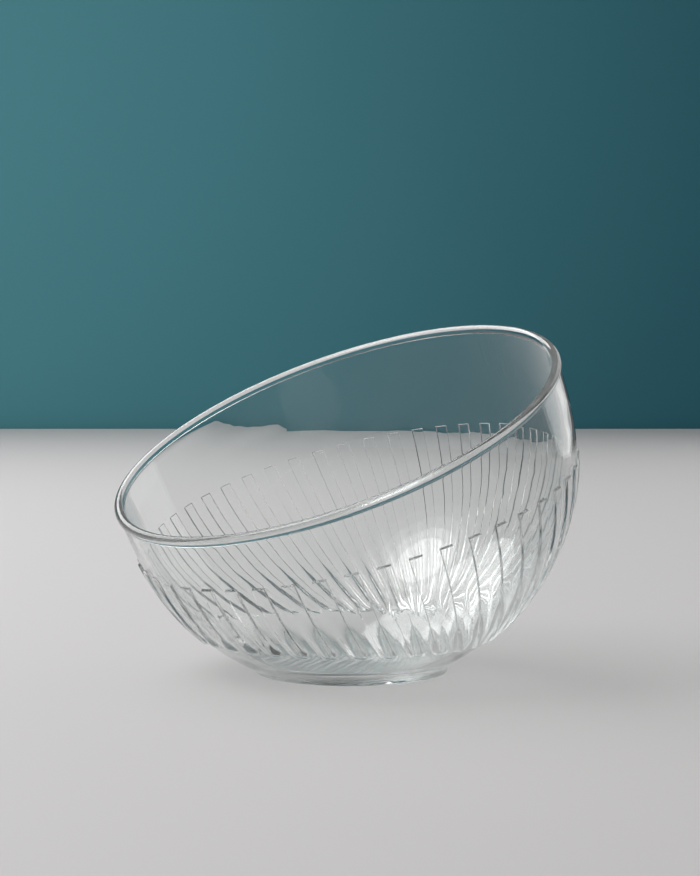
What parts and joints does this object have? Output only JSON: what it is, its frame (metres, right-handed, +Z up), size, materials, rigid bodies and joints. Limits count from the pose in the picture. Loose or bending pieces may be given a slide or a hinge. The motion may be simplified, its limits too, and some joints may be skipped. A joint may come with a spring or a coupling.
{
  "type": "nut bowl",
  "caption": "Tilted nut bowl in clear pressed glass, a leaning ball with raised ribs, a round rim bead and a flat foot.",
  "frame": {"origin": "middle of the flat foot, on the table", "axes": "+Z up from the table, -Y towards the low side of the rim, +X to the right seen from the low side; the bowl is the same on both sides of X = 0"},
  "size_m": [0.1206, 0.1182, 0.0899],
  "materials": {
    "clear_glass": "fire polished"
  },
  "bodies": {
    "root": {"glass_bowl": "clear_glass"}
  },
  "joints": []
}
